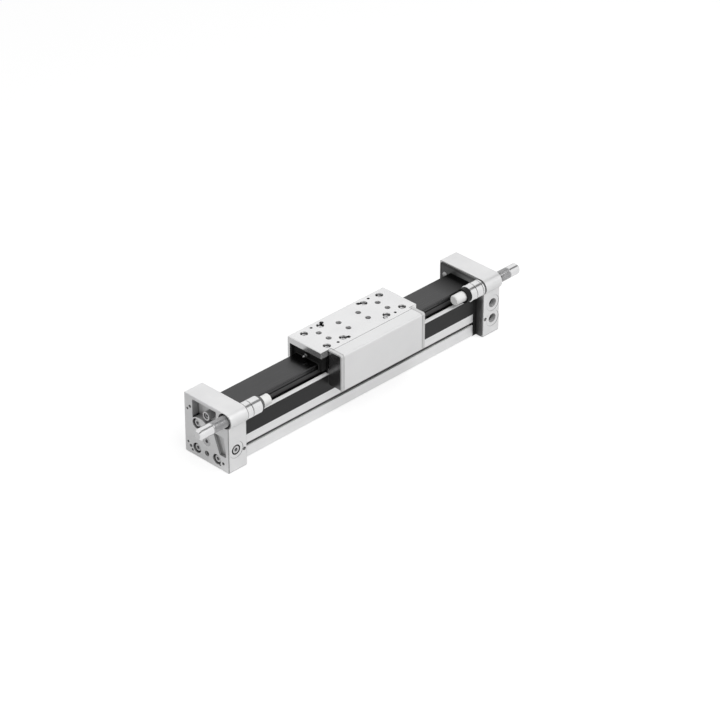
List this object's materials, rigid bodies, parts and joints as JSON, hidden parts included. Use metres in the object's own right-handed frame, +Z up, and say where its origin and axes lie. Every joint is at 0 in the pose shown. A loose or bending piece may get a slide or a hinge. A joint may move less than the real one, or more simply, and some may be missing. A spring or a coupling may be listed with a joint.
{
  "type": "rodless pneumatic cylinder",
  "caption": "Slotted rodless air cylinder with a guide rail on top, a sliding carriage with a bolted table, and end caps that hold ports and adjustable shock absorbers.",
  "frame": {"origin": "middle of the whole drive's box, at the level of the end caps' undersides", "axes": "+X along the stroke from the near cap to the far cap, +Z up out of the carriage's table"},
  "size_m": [0.3813, 0.0624, 0.065],
  "materials": {
    "anodised_aluminium": "clear anodised, satin",
    "cast_aluminium": "fine blasted die casting",
    "black_rail": "black oxide, satin",
    "black_plastic": "matt moulded",
    "gloss_black": "polished moulding",
    "seal_rubber": "moulded seal",
    "white_buffer": "turned polymer",
    "bright_steel": "ground and plated",
    "plain_steel": "plain steel",
    "screw_steel": "plain steel",
    "piston_polymer": "moulded",
    "piston_aluminium": "clear anodised, satin"
  },
  "bodies": {
    "base": {"cylinder_profile": "anodised_aluminium", "guide_rail": "black_rail", "side_cover_strip": "black_plastic", "near_end_cap": "cast_aluminium", "far_end_cap": "cast_aluminium", "near_cover_plate": "black_plastic", "far_cover_plate": "black_plastic", "near_gasket": "black_plastic", "far_gasket": "black_plastic", "near_bore_plug": "piston_polymer", "far_bore_plug": "piston_polymer", "near_plug_seal": "seal_rubber", "far_plug_seal": "seal_rubber", "cap_screws": "screw_steel", "rail_end_screws": "screw_steel", "cover_plate_screws": "screw_steel", "port_plugs": "screw_steel", "inner_sealing_band": "plain_steel", "near_damper_body": "bright_steel", "far_damper_body": "bright_steel", "near_lock_ring": "bright_steel", "near_stop_sleeve": "bright_steel", "far_spacer_ring": "bright_steel", "far_lock_ring": "bright_steel", "far_stop_sleeve": "bright_steel", "near_bumper_ring": "seal_rubber", "far_bumper_ring": "seal_rubber"},
    "carriage": {"carriage_plate": "anodised_aluminium", "side_cover": "anodised_aluminium", "near_end_frame": "anodised_aluminium", "far_end_frame": "anodised_aluminium", "near_end_panel": "gloss_black", "far_end_panel": "gloss_black", "near_runner": "plain_steel", "far_runner": "plain_steel", "guide_balls": "bright_steel", "near_wiper": "black_plastic", "far_wiper": "black_plastic", "lube_nipples": "bright_steel", "near_stop_block": "plain_steel", "far_stop_block": "plain_steel", "stop_block_screws": "screw_steel", "driver": "plain_steel", "driver_screws": "screw_steel", "driver_foot_screws": "screw_steel", "piston_yoke": "piston_aluminium", "near_piston_head": "piston_polymer", "far_piston_head": "piston_polymer", "near_piston_seal": "seal_rubber", "far_piston_seal": "seal_rubber", "piston_magnets": "plain_steel", "carriage_screws": "screw_steel", "piston_head_screws": "screw_steel"},
    "near_plunger": {"near_damper_rod": "plain_steel", "near_buffer": "white_buffer"},
    "far_plunger": {"far_damper_rod": "plain_steel", "far_buffer": "white_buffer"}
  },
  "joints": [
    {"name": "carriage_slide", "type": "slide", "parent": "base", "child": "carriage", "axis": [1, 0, 0], "range_m": [-0.0714, 0.0504], "deforming": ["inner_sealing_band"]},
    {"name": "near_plunger_slide", "type": "slide", "parent": "base", "child": "near_plunger", "axis": [-1, 0, 0], "range_m": [0, 0.0095], "stiffness_N_per_m": 300, "springref_m": -0.01},
    {"name": "far_plunger_slide", "type": "slide", "parent": "base", "child": "far_plunger", "axis": [1, 0, 0], "range_m": [0, 0.0109], "stiffness_N_per_m": 300, "springref_m": -0.01}
  ]
}
